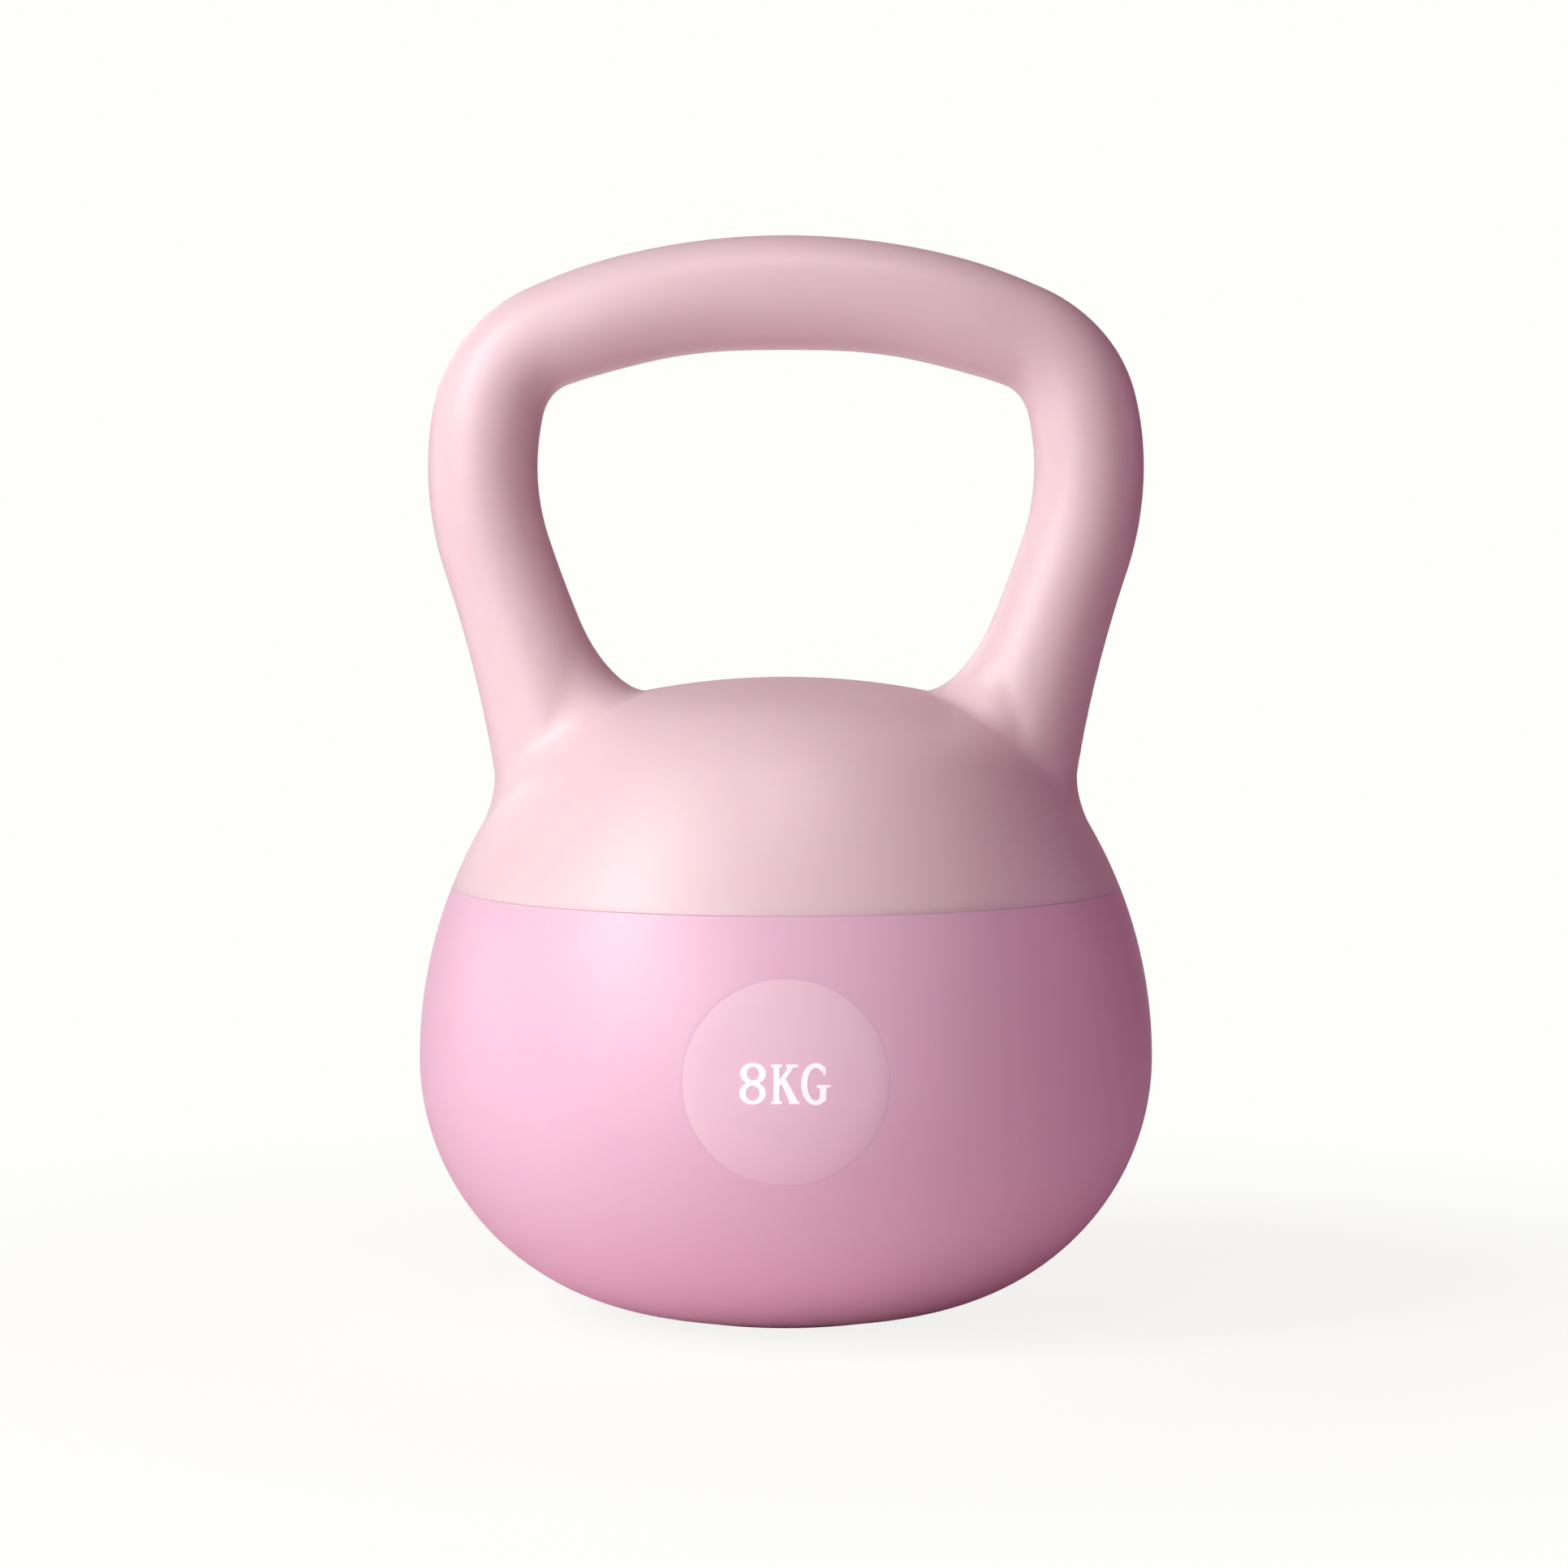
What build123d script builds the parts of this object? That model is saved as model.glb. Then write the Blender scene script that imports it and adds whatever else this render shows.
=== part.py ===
"""Soft kettlebell: a bulb of iron sand under a steel handle bar with a soft moulded cover.

Millimetres, +Z up. The origin is on the floor under the bulb's axis. The handle loop lies
in the XZ plane, and the weight disc faces -Y.
"""

import os
from math import acos, asin, atan2, cos, degrees, hypot, radians, sin, sqrt

from build123d import *

# Outer form of the bulb and the dome
bulb_diameter = 180.0
belly_height = 63.0
side_arc_radius = 113.0
seam_height = 105.0
seam_round = 0.5
crown_height = 156.5
crown_arc_radius = 180.0
shoulder_radius = 50.0
foot_flat_radius = 26.0
foot_lift = 0.6

# Handle loop
overall_height = 264.0
handle_width = 175.0
grip_diameter = 26.8
bar_arc_radius = 156.0
corner_radius = 24.5
corner_lean = 13.0
leg_bow_radius = 66.0
leg_arc_share = 0.81
leg_root_diameter = 42.3
root_overrun = 7.5
root_fillet = 12.0

# Steel bar inside the handle
core_diameter = 16.0
core_bend_radius = 20.0
core_stub = 2.0
stud_diameter = 12.0
stud_tip = 2.5
stud_tip_chamfer = 1.0
washer_diameter = 24.0
washer_thickness = 2.5
washer_margin = 2.1
nut_across_flats = 18.0
nut_thickness = 10.0
nut_chamfer = 0.8

# Pressed pan that the bar is bolted to
plate_rise = 15.5
plate_thickness = 2.5
pan_depth = 14.0
pan_edge_round = 2.0

# Collar of the bulb, its clamp and the skirt that covers them
skirt_wall = 3.0
collar_wall = 2.6
collar_height = 13.5
ledge_thickness = 4.0
clamp_thickness = 0.8
clamp_width = 8.0
clamp_lift = 1.5
ear_width = 8.0
ear_height = 3.2
ear_wall = 1.0
tongue_inset = 4.0
tongue_width = 2.0
tongue_height = 2.5

# Walls and fill of the bulb
shell_wall = 4.0
base_wall = 5.0
boss_radius = 34.0

# Filler port in the base
ring_radius = 16.0
ring_flange_radius = 20.0
ring_flange_thickness = 2.0
port_radius = 11.5
plug_head_radius = 14.0
plug_head_thickness = 2.0
plug_key_across_flats = 8.0
plug_key_depth = 4.0
seal_thickness = 1.0

# Foot pad and weight disc
pad_radius = 30.0
pad_thickness = 3.0
pad_chamfer = 0.5
disc_radius = 24.0
disc_height = 67.0
disc_sink = 0.7
disc_proud = 0.3

# Clearances
fit_gap = 0.1
bond_gap = 0.1
free_gap = 0.5
stud_gap = 0.3
fill_gap = 0.2
pad_gap = 0.3

bulb_radius = bulb_diameter / 2
grip_radius = grip_diameter / 2
core_radius = core_diameter / 2
stud_radius = stud_diameter / 2
washer_radius = washer_diameter / 2


def side_radius(height):
    """Outer radius of the bulb or the dome at a height on the side arc."""
    reach = sqrt(side_arc_radius**2 - (height - belly_height) ** 2)
    return bulb_radius - side_arc_radius + reach


# Heights and radii of the joint between the cover, the bulb and the pan
seam_radius = side_radius(seam_height)
plate_top = seam_height + plate_rise
plate_bottom = plate_top - plate_thickness
pocket_radius = side_radius(plate_top) - skirt_wall
clamp_outer = pocket_radius - free_gap
clamp_inner = clamp_outer - clamp_thickness
clamp_bottom = seam_height + clamp_lift
collar_outer = clamp_inner - fit_gap
collar_inner = collar_outer - collar_wall
pan_radius = collar_inner - fit_gap
pan_inner = pan_radius - plate_thickness
tongue_radius = seam_radius - tongue_inset
ledge_bottom = seam_height - ledge_thickness

# Places of the fasteners under the pan, one pair beside its wall on each side
stud_x = pan_inner - washer_margin - washer_radius
stud_places = [(-stud_x, 0), (stud_x, 0)]
washer_bottom = plate_bottom - washer_thickness
nut_bottom = washer_bottom - nut_thickness
stud_bottom = nut_bottom - stud_tip

# Heights of the filler port, counted up from the pad
boss_top = pad_thickness + base_wall
ring_bottom = pad_thickness + pad_gap
ring_top = boss_top + ring_flange_thickness
plug_head_top = ring_bottom + plug_head_thickness
seal_seat = plug_head_top + seal_thickness

# Centreline of the handle: bar arc, corner arc, bow down to the widest point, leg arc, straight leg
# and the bend above the pan
bar_height = overall_height - grip_radius
leg_x = handle_width / 2 - grip_radius
lean = radians(corner_lean)
bar_run = leg_x - corner_radius * cos(lean) - leg_bow_radius * (1 - cos(lean))
bar_angle = asin(bar_run / (bar_arc_radius - corner_radius))
bar_drop = bar_arc_radius * (1 - cos(bar_angle))
corner_drop = corner_radius * (cos(bar_angle) - sin(lean))
leg_height = bar_height - bar_drop - corner_drop - leg_bow_radius * sin(lean)
leg_drop = leg_height - plate_top - core_stub
leg_arc_radius = leg_arc_share * leg_drop

# The straight leg is the cross tangent of the leg arc and the bend
across = stud_x + core_bend_radius - (leg_x - leg_arc_radius)
both_radii = leg_arc_radius + core_bend_radius
leg_tilt = atan2(leg_drop, across) - acos(both_radii / hypot(across, leg_drop))
leg_run = sqrt(across**2 + leg_drop**2 - both_radii**2)
leg_direction = Vector(-sin(leg_tilt), 0, -cos(leg_tilt))
leg_outward = Vector(cos(leg_tilt), 0, -sin(leg_tilt))
leg_start = Vector(leg_x - leg_arc_radius, 0, leg_height) + leg_outward * leg_arc_radius

# The leg's outer form widens along an arc down to its root inside the dome
root_run = leg_run + root_overrun
root_growth = (leg_root_diameter - grip_diameter) / 2
flare_radius = (root_run**2 + root_growth**2) / (2 * root_growth)
flare_turn = degrees(asin(root_run / flare_radius))

# Angles at which the dome's shoulder arc meets the side arc and the crown arc
side_centre_x = bulb_radius - side_arc_radius
crown_centre_z = crown_height - crown_arc_radius
centre_rise = belly_height - crown_centre_z
centre_gap = hypot(side_centre_x, centre_rise)
to_crown = crown_arc_radius - shoulder_radius
to_side = side_arc_radius - shoulder_radius
crown_turn = acos((centre_gap**2 + to_crown**2 - to_side**2) / (2 * centre_gap * to_crown))
crown_angle = atan2(centre_rise, side_centre_x) - crown_turn
shoulder_x = to_crown * cos(crown_angle)
shoulder_z = crown_centre_z + to_crown * sin(crown_angle)
shoulder_angle = atan2(shoulder_z - belly_height, shoulder_x - side_centre_x)
seam_angle = asin((seam_height - belly_height) / side_arc_radius)

bar_section = Plane(origin=(0, 0, bar_height), x_dir=(0, 1, 0), z_dir=(1, 0, 0))
leg_section = Plane(origin=leg_start, x_dir=leg_outward, z_dir=(0, 1, 0))


def handle_arcs():
    """Right half of the handle's centreline, from the middle of the bar to the straight leg."""
    bar = JernArc((0, bar_height), (1, 0), bar_arc_radius, -degrees(bar_angle))
    corner_turn = 90 - corner_lean - degrees(bar_angle)
    corner = JernArc(bar @ 1, bar % 1, corner_radius, -corner_turn)
    bow = JernArc(corner @ 1, corner % 1, leg_bow_radius, -corner_lean)
    return JernArc(bow @ 1, bow % 1, leg_arc_radius, -degrees(leg_tilt))


def core_sweep(radius):
    """Both halves of a round bar along the core's centreline, down to the pan."""
    with BuildLine(Plane.XZ) as path:
        leg = handle_arcs()
        straight = Line(leg @ 1, leg @ 1 + leg_direction * leg_run)
        bend = JernArc(straight @ 1, straight % 1, core_bend_radius, degrees(leg_tilt))
        Line(bend @ 1, bend @ 1 - Vector(0, 0, core_stub))
    with BuildSketch(bar_section) as section:
        Circle(radius)
    sweep(section.sketch, path=path.line)
    mirror(about=Plane.YZ)


def bulb_face(inset, top, mode=Mode.ADD):
    """Half section of the bulb below a height, with its outline moved in by an inset."""
    floor = foot_lift + inset
    with BuildLine() as outline:
        bottom = Line((0, floor), (foot_flat_radius, floor))
        EllipticalCenterArc(
            (foot_flat_radius, belly_height),
            bulb_radius - foot_flat_radius - inset,
            belly_height - floor,
            start_angle=270,
            arc_size=90,
        )
        rise = degrees(asin((top - belly_height) / (side_arc_radius - inset)))
        side = JernArc((bulb_radius - inset, belly_height), (0, 1), side_arc_radius - inset, rise)
        Polyline(side @ 1, (0, top), bottom @ 0)
    make_face(outline.edges(), mode=mode)


def band_face(inner, outer, bottom, top, mode=Mode.ADD):
    """Half section of a ring between two radii and two heights."""
    with Locations((inner, bottom)):
        Rectangle(outer - inner, top - bottom, align=(Align.MIN, Align.MIN), mode=mode)


# Flared right half of the handle's outer form, down into the dome
with BuildPart() as loop_half:
    with BuildLine(Plane.XZ) as loop_line:
        handle_arcs()
    with BuildSketch(bar_section):
        Circle(grip_radius)
    sweep(path=loop_line.line)
    with BuildSketch(leg_section):
        with BuildLine():
            flare = JernArc((grip_radius, 0), (0, 1), flare_radius, -flare_turn)
            Polyline(flare @ 1, (0, root_run), (0, 0), flare @ 0)
        make_face()
    revolve(axis=Axis(leg_start, leg_direction))

# Room for the steel bar inside the cover
with BuildPart() as core_bore:
    core_sweep(core_radius + fit_gap)

# Soft cover of the handle and the dome
with BuildPart() as top_cover:
    with BuildSketch(Plane.YZ):
        with BuildLine():
            seam_heading = (-sin(seam_angle), cos(seam_angle))
            side_turn = degrees(shoulder_angle - seam_angle)
            side = JernArc((seam_radius, seam_height), seam_heading, side_arc_radius, side_turn)
            shoulder_turn = degrees(crown_angle - shoulder_angle)
            shoulder = JernArc(side @ 1, side % 1, shoulder_radius, shoulder_turn)
            crown = JernArc(shoulder @ 1, shoulder % 1, crown_arc_radius, 90 - degrees(crown_angle))
            Polyline(crown @ 1, (0, seam_height), side @ 0)
        make_face()
    revolve(axis=Axis.Z)
    add(loop_half.part)
    mirror(loop_half.part, about=Plane.YZ)
    fillet(top_cover.edges().filter_by(GeomType.BSPLINE), radius=root_fillet)
    fillet(top_cover.edges().group_by(Axis.Z)[0], radius=seam_round)
    with BuildSketch(Plane.YZ):
        band_face(0, pocket_radius, seam_height, plate_top)
        groove_half = tongue_width / 2 + fit_gap
        groove_top = seam_height + tongue_height + fit_gap
        band_face(tongue_radius - groove_half, tongue_radius + groove_half, seam_height, groove_top)
    revolve(axis=Axis.Z, mode=Mode.SUBTRACT)
    with BuildSketch(Plane.XY.offset(seam_height)):
        ear_room = clamp_outer + ear_height + free_gap
        Rectangle(ear_width + 2 * free_gap, ear_room, align=(Align.CENTER, Align.MIN))
    extrude(amount=clamp_lift + clamp_width + free_gap, mode=Mode.SUBTRACT)
    add(core_bore.part, mode=Mode.SUBTRACT)

# Bent steel bar with a threaded end below the pan on each side
with BuildPart() as handle_core:
    core_sweep(core_radius)
    with BuildSketch(Plane.XY.offset(stud_bottom)):
        with Locations(*stud_places):
            Circle(stud_radius)
    extrude(amount=plate_top - stud_bottom)
    chamfer(handle_core.edges().group_by(Axis.Z)[0], length=stud_tip_chamfer)

# Pressed pan, open downwards, that closes the bulb
with BuildPart() as anchor_plate:
    with BuildSketch(Plane.YZ):
        band_face(0, pan_radius, plate_top - pan_depth, plate_top)
        band_face(0, pan_inner, plate_top - pan_depth, plate_bottom, mode=Mode.SUBTRACT)
    revolve(axis=Axis.Z)
    fillet(anchor_plate.edges().group_by(Axis.Z)[-1], radius=pan_edge_round)
    with Locations(*[(x, y, plate_top) for x, y in stud_places]):
        Hole(stud_radius + stud_gap, depth=plate_thickness)

with BuildPart() as core_washers:
    with BuildSketch(Plane.XY.offset(washer_bottom)):
        with Locations(*stud_places):
            Circle(washer_radius)
            Circle(stud_radius + stud_gap, mode=Mode.SUBTRACT)
    extrude(amount=washer_thickness)

with BuildPart() as core_nuts:
    with BuildSketch(Plane.XY.offset(nut_bottom)):
        with Locations(*stud_places):
            RegularPolygon(nut_across_flats / 2, 6, major_radius=False)
    extrude(amount=nut_thickness)
    chamfer(core_nuts.edges().group_by(Axis.Z)[0], length=nut_chamfer)
    with Locations(*[(x, y, washer_bottom) for x, y in stud_places]):
        Hole(stud_radius + fit_gap, depth=nut_thickness)

# Ear clamp round the bulb's collar, with its pinched ear at the back
with BuildPart() as neck_clamp:
    with BuildSketch(Plane.XY.offset(clamp_bottom)):
        Circle(clamp_outer)
        with Locations((0, clamp_inner)):
            Rectangle(ear_width, clamp_thickness + ear_height, align=(Align.CENTER, Align.MIN))
        Circle(clamp_inner, mode=Mode.SUBTRACT)
        with Locations((0, clamp_outer)):
            Rectangle(
                ear_width - 2 * ear_wall,
                ear_height - ear_wall,
                align=(Align.CENTER, Align.MIN),
                mode=Mode.SUBTRACT,
            )
    extrude(amount=clamp_width)

# Seat of the weight disc, cut into the front of the bulb
with BuildPart() as disc_seat:
    with BuildSketch(Plane.YZ):
        bulb_face(-shell_wall, seam_height)
        bulb_face(disc_sink, seam_height, mode=Mode.SUBTRACT)
    revolve(axis=Axis.Z)
    with BuildSketch(Plane.XZ):
        with Locations((0, disc_height)):
            Circle(disc_radius + fit_gap)
    extrude(amount=bulb_diameter, mode=Mode.INTERSECT)

# Soft bulb: wall, ledge and collar at the top, boss and pad recess at the base
with BuildPart() as lower_shell:
    with BuildSketch(Plane.YZ):
        bulb_face(0, seam_height)
    revolve(axis=Axis.Z)
    fillet(lower_shell.edges().group_by(Axis.Z)[-1], radius=seam_round)
    with BuildSketch(Plane.YZ):
        band_face(collar_inner, collar_outer, ledge_bottom, seam_height + collar_height)
        tongue_half = tongue_width / 2
        tongue_top = seam_height + tongue_height
        band_face(tongue_radius - tongue_half, tongue_radius + tongue_half, ledge_bottom, tongue_top)
    revolve(axis=Axis.Z)
    with BuildSketch(Plane.YZ):
        bulb_face(shell_wall, ledge_bottom)
        band_face(0, boss_radius, 0, boss_top, mode=Mode.SUBTRACT)
        band_face(0, collar_inner, ledge_bottom, seam_height)
        band_face(0, ring_radius + fit_gap, 0, boss_top)
        band_face(0, pad_radius + pad_gap, 0, pad_thickness)
    revolve(axis=Axis.Z, mode=Mode.SUBTRACT)
    add(disc_seat.part, mode=Mode.SUBTRACT)

# Fill of iron sand, up to the pan and round its fasteners
with BuildPart() as iron_sand:
    with BuildSketch(Plane.YZ):
        bulb_face(shell_wall + fill_gap, ledge_bottom - fill_gap)
        band_face(0, pan_inner - fill_gap, belly_height, plate_bottom - fill_gap)
        band_face(0, boss_radius + fill_gap, 0, boss_top + fill_gap, mode=Mode.SUBTRACT)
        band_face(0, ring_flange_radius + fill_gap, 0, ring_top + fill_gap, mode=Mode.SUBTRACT)
    revolve(axis=Axis.Z)
    with BuildSketch(Plane.XY.offset(stud_bottom - fill_gap)):
        with Locations(*stud_places):
            Circle(washer_radius + fill_gap)
    extrude(amount=plate_bottom - stud_bottom, mode=Mode.SUBTRACT)

# Rigid ring in the base that the fill goes in through
with BuildPart() as filler_ring:
    with BuildSketch(Plane.YZ):
        band_face(port_radius, ring_radius, ring_bottom, ring_top)
        band_face(port_radius, ring_flange_radius, boss_top, ring_top)
        band_face(port_radius, plug_head_radius + fit_gap, ring_bottom, seal_seat, mode=Mode.SUBTRACT)
    revolve(axis=Axis.Z)

# Plug with a hexagon key hole in its head
with BuildPart() as filler_plug:
    with BuildSketch(Plane.YZ):
        band_face(0, plug_head_radius, ring_bottom, plug_head_top)
        band_face(0, port_radius - fit_gap, ring_bottom, ring_top)
    revolve(axis=Axis.Z)
    with BuildSketch(Plane.XY.offset(ring_bottom)):
        RegularPolygon(plug_key_across_flats / 2, 6, major_radius=False)
    extrude(amount=plug_key_depth, mode=Mode.SUBTRACT)

with BuildPart() as plug_seal:
    with BuildSketch(Plane.YZ):
        band_face(port_radius, plug_head_radius, plug_head_top, seal_seat)
    revolve(axis=Axis.Z)

# Foot that the kettlebell stands on
with BuildPart() as base_pad:
    with BuildSketch(Plane.XY):
        Circle(pad_radius)
    extrude(amount=pad_thickness)
    chamfer(base_pad.edges().group_by(Axis.Z)[0], length=pad_chamfer)

# Disc for the weight mark, curved like the bulb
with BuildPart() as weight_disc:
    with BuildSketch(Plane.YZ):
        bulb_face(-disc_proud, seam_height)
        bulb_face(disc_sink - bond_gap, seam_height, mode=Mode.SUBTRACT)
    revolve(axis=Axis.Z)
    with BuildSketch(Plane.XZ):
        with Locations((0, disc_height)):
            Circle(disc_radius)
    extrude(amount=bulb_diameter, mode=Mode.INTERSECT)

pieces = {
    "top_cover": top_cover,
    "handle_core": handle_core,
    "anchor_plate": anchor_plate,
    "core_washers": core_washers,
    "core_nuts": core_nuts,
    "neck_clamp": neck_clamp,
    "lower_shell": lower_shell,
    "iron_sand": iron_sand,
    "filler_ring": filler_ring,
    "filler_plug": filler_plug,
    "plug_seal": plug_seal,
    "base_pad": base_pad,
    "weight_disc": weight_disc,
}

os.makedirs("parts", exist_ok=True)
for name, piece in pieces.items():
    piece.part.label = name
    export_step(piece.part, f"parts/{name}.step")
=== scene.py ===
"""Looks of a soft kettlebell: moulded cover, bulb, weight disc, foot, and the steel and sand inside.

The scene is in metres, +Z up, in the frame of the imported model. Sizes below are in millimetres,
and MM turns them into metres where a mesh is made.
"""

from math import acos, asin, atan2, ceil, cos, hypot, pi, radians, sin, sqrt

import bmesh
import bpy
import numpy as np
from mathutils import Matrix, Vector
from mathutils.geometry import delaunay_2d_cdt
from mathutils.kdtree import KDTree


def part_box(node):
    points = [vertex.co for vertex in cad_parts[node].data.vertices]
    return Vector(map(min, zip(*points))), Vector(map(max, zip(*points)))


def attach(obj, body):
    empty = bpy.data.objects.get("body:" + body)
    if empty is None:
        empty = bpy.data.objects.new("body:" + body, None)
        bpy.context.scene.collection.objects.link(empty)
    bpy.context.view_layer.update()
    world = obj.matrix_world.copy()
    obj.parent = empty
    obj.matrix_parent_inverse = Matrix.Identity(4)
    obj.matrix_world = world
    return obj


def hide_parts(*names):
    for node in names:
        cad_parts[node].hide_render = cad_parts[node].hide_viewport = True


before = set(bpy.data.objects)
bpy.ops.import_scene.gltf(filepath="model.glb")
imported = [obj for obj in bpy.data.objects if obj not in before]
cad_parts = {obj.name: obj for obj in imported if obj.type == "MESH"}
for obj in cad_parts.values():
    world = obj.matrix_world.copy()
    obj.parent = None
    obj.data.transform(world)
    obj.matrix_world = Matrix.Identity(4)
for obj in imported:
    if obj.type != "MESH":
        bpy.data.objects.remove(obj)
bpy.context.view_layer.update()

MM = 0.001
tiny = 1e-9


def box_mm(node):
    """Lowest and highest corner of a node of the frame, in millimetres."""
    low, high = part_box(node)
    return low / MM, high / MM


# Sizes that the frame gives
cover_low, cover_high = box_mm("top_cover")
disc_low, disc_high = box_mm("weight_disc")
shell_high = box_mm("lower_shell")[1]
washer_high = box_mm("core_washers")[1]
core_high = box_mm("handle_core")[1]
plate_high = box_mm("anchor_plate")[1]
pad_high = box_mm("base_pad")[1]
overall_height = cover_high.z
handle_width = cover_high.x - cover_low.x
seam_height = cover_low.z
bulb_radius = shell_high.x
collar_top = shell_high.z
plate_top = plate_high.z
stud_x = washer_high.x - washer_high.y
core_radius = core_high.y
pad_radius = pad_high.x
pad_thickness = pad_high.z
disc_radius = disc_high.x
disc_height = (disc_low.z + disc_high.z) / 2

# Outer form of the bulb and the dome
belly_height = 63.0
side_arc_radius = 113.0
crown_height = 156.0
crown_arc_radius = 180.0
shoulder_radius = 50.0
foot_flat_radius = 26.0
foot_lift = 0.6
lip_radius = 0.2

# Handle loop
grip_radius = 13.4
bar_arc_radius = 156.0
corner_radius = 24.5
corner_lean = radians(13.0)
leg_bow_radius = 66.0
leg_arc_share = 0.81
flare_radius = 300.0
root_overrun = 7.5
root_fillet = 4.0
root_fillet_outer = 5.0
root_fillet_up = 22.0
root_fillet_along = 8.5
corner_pinch = 0.75
pinch_place = 64.0
pinch_reach = 14.0
bar_belly = 1.1
belly_reach = 22.0

# Inside of the cover and the bulb
fit_gap = 0.1
core_bend_radius = 20.0
core_stub = 2.0
collar_wall = 2.6
clamp_room = 1.4
collar_inner = plate_high.x + fit_gap
collar_outer = collar_inner + collar_wall
pocket_radius = collar_outer + clamp_room
tongue_inset = 4.0
tongue_half = 1.0
tongue_height = 2.5
ledge_thickness = 4.0
shell_wall = 4.0
boss_radius = 34.0
boss_top = 8.0
port_radius = 16.1
recess_gap = 0.3
recess_radius = pad_radius + recess_gap

# Weight disc and its mark
disc_edge_gap = 0.015
disc_proud = 0.05
disc_edge_round = 0.05
disc_thickness = 0.6
seat_depth = 0.7
seat_edge_round = 0.03
seat_band = 1.2
mark_relief = 0.06
mark_slice = 1.0
mark_tolerance = 1e-5
slice_tolerance = 1e-4

# Foot and its tread
foot_edge_round = 0.8
foot_top_round = 0.3
foot_rim = 1.8
foot_rim_slope = 0.4
tread_pitch = 5.0
tread_inset = 3.5
tread_reach = pad_radius - tread_inset
tread_radius = 1.7
tread_relief = 0.9
stud_taper = 0.8
stud_root = 0.5


# Form of the bulb and the dome

side_centre_x = bulb_radius - side_arc_radius
crown_centre_z = crown_height - crown_arc_radius
centre_rise = belly_height - crown_centre_z
centre_gap = hypot(side_centre_x, centre_rise)
to_crown = crown_arc_radius - shoulder_radius
to_side = side_arc_radius - shoulder_radius
crown_turn = acos((centre_gap**2 + to_crown**2 - to_side**2) / (2 * centre_gap * to_crown))
crown_angle = atan2(centre_rise, side_centre_x) - crown_turn
shoulder_x = to_crown * cos(crown_angle)
shoulder_z = crown_centre_z + to_crown * sin(crown_angle)
shoulder_angle = atan2(shoulder_z - belly_height, shoulder_x - side_centre_x)
crown_edge = crown_arc_radius * cos(crown_angle)
shoulder_edge = side_centre_x + side_arc_radius * cos(shoulder_angle)


def side_radius(height):
    """Outer radius of the bulb or the dome at a height up to the shoulder."""
    if height > belly_height:
        return side_centre_x + sqrt(side_arc_radius**2 - (height - belly_height) ** 2)
    drop = (belly_height - height) / (belly_height - foot_lift)
    return foot_flat_radius + (bulb_radius - foot_flat_radius) * sqrt(1 - drop**2)


slope_step = 0.01


def side_slope(height):
    """Change of the outer radius with height."""
    return (side_radius(height + slope_step) - side_radius(height - slope_step)) / (2 * slope_step)


tongue_radius = side_radius(seam_height) - tongue_inset


def dome_height(spread):
    """Height of the dome's outside at a distance from the axis."""
    if spread < crown_edge:
        return crown_centre_z + sqrt(crown_arc_radius**2 - spread**2)
    if spread < shoulder_edge:
        return shoulder_z + sqrt(shoulder_radius**2 - (spread - shoulder_x) ** 2)
    return belly_height + sqrt(side_arc_radius**2 - (spread - side_centre_x) ** 2)


def dome_field(points):
    """Distance of points from the dome's outside, and the direction away from it."""
    spread = np.hypot(points[:, 0], points[:, 1])
    turn = np.arctan2(points[:, 2] - shoulder_z, spread - shoulder_x)
    parts = [turn < shoulder_angle, turn > crown_angle]
    across = spread - np.select(parts, [side_centre_x, 0.0], shoulder_x)
    up = points[:, 2] - np.select(parts, [belly_height, crown_centre_z], shoulder_z)
    reach = np.hypot(across, up)
    outward = across / reach / np.maximum(spread, tiny)
    away = np.column_stack([points[:, 0] * outward, points[:, 1] * outward, up / reach])
    return reach - np.select(parts, [side_arc_radius, crown_arc_radius], shoulder_radius), away


# Form of the handle loop

bar_height = overall_height - grip_radius
leg_x = handle_width / 2 - grip_radius
bar_run = leg_x - corner_radius * cos(corner_lean) - leg_bow_radius * (1 - cos(corner_lean))
bar_angle = asin(bar_run / (bar_arc_radius - corner_radius))
bar_drop = bar_arc_radius * (1 - cos(bar_angle))
corner_drop = corner_radius * (cos(bar_angle) - sin(corner_lean))
leg_height = bar_height - bar_drop - corner_drop - leg_bow_radius * sin(corner_lean)
leg_drop = leg_height - plate_top - core_stub
leg_arc_radius = leg_arc_share * leg_drop
leg_across = stud_x + core_bend_radius - (leg_x - leg_arc_radius)
both_radii = leg_arc_radius + core_bend_radius
leg_tilt = atan2(leg_drop, leg_across) - acos(both_radii / hypot(leg_across, leg_drop))
leg_run = sqrt(leg_across**2 + leg_drop**2 - both_radii**2)

handle_arcs = [
    (bar_arc_radius, bar_angle),
    (corner_radius, pi / 2 - corner_lean - bar_angle),
    (leg_bow_radius, corner_lean),
    (leg_arc_radius, leg_tilt),
]
leg_begin = sum(radius * turn for radius, turn in handle_arcs)


def half_line(moves, step):
    """Places, headings and lengths along the right half of the handle, from the bar's middle.

    A move is an arc (radius, turn), clockwise where the turn is positive, or a run (length, 0).
    Places and headings are complex numbers, x along the real axis and z along the imaginary one.
    """
    place = 1j * bar_height
    heading = 1 + 0j
    length = 0.0
    stations = [(place, heading, length)]
    for size, turn in moves:
        span = size * abs(turn) if turn else size
        count = ceil(span / step)
        for index in range(1, count + 1):
            bend = turn * index / count
            if turn:
                shift = size * np.sign(turn) * (1 - np.exp(-1j * bend)) / 1j
            else:
                shift = span * index / count
            station = place + heading * shift
            stations.append((station, heading * np.exp(-1j * bend), length + span * index / count))
        place, heading, length = stations[-1]
    return stations


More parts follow.
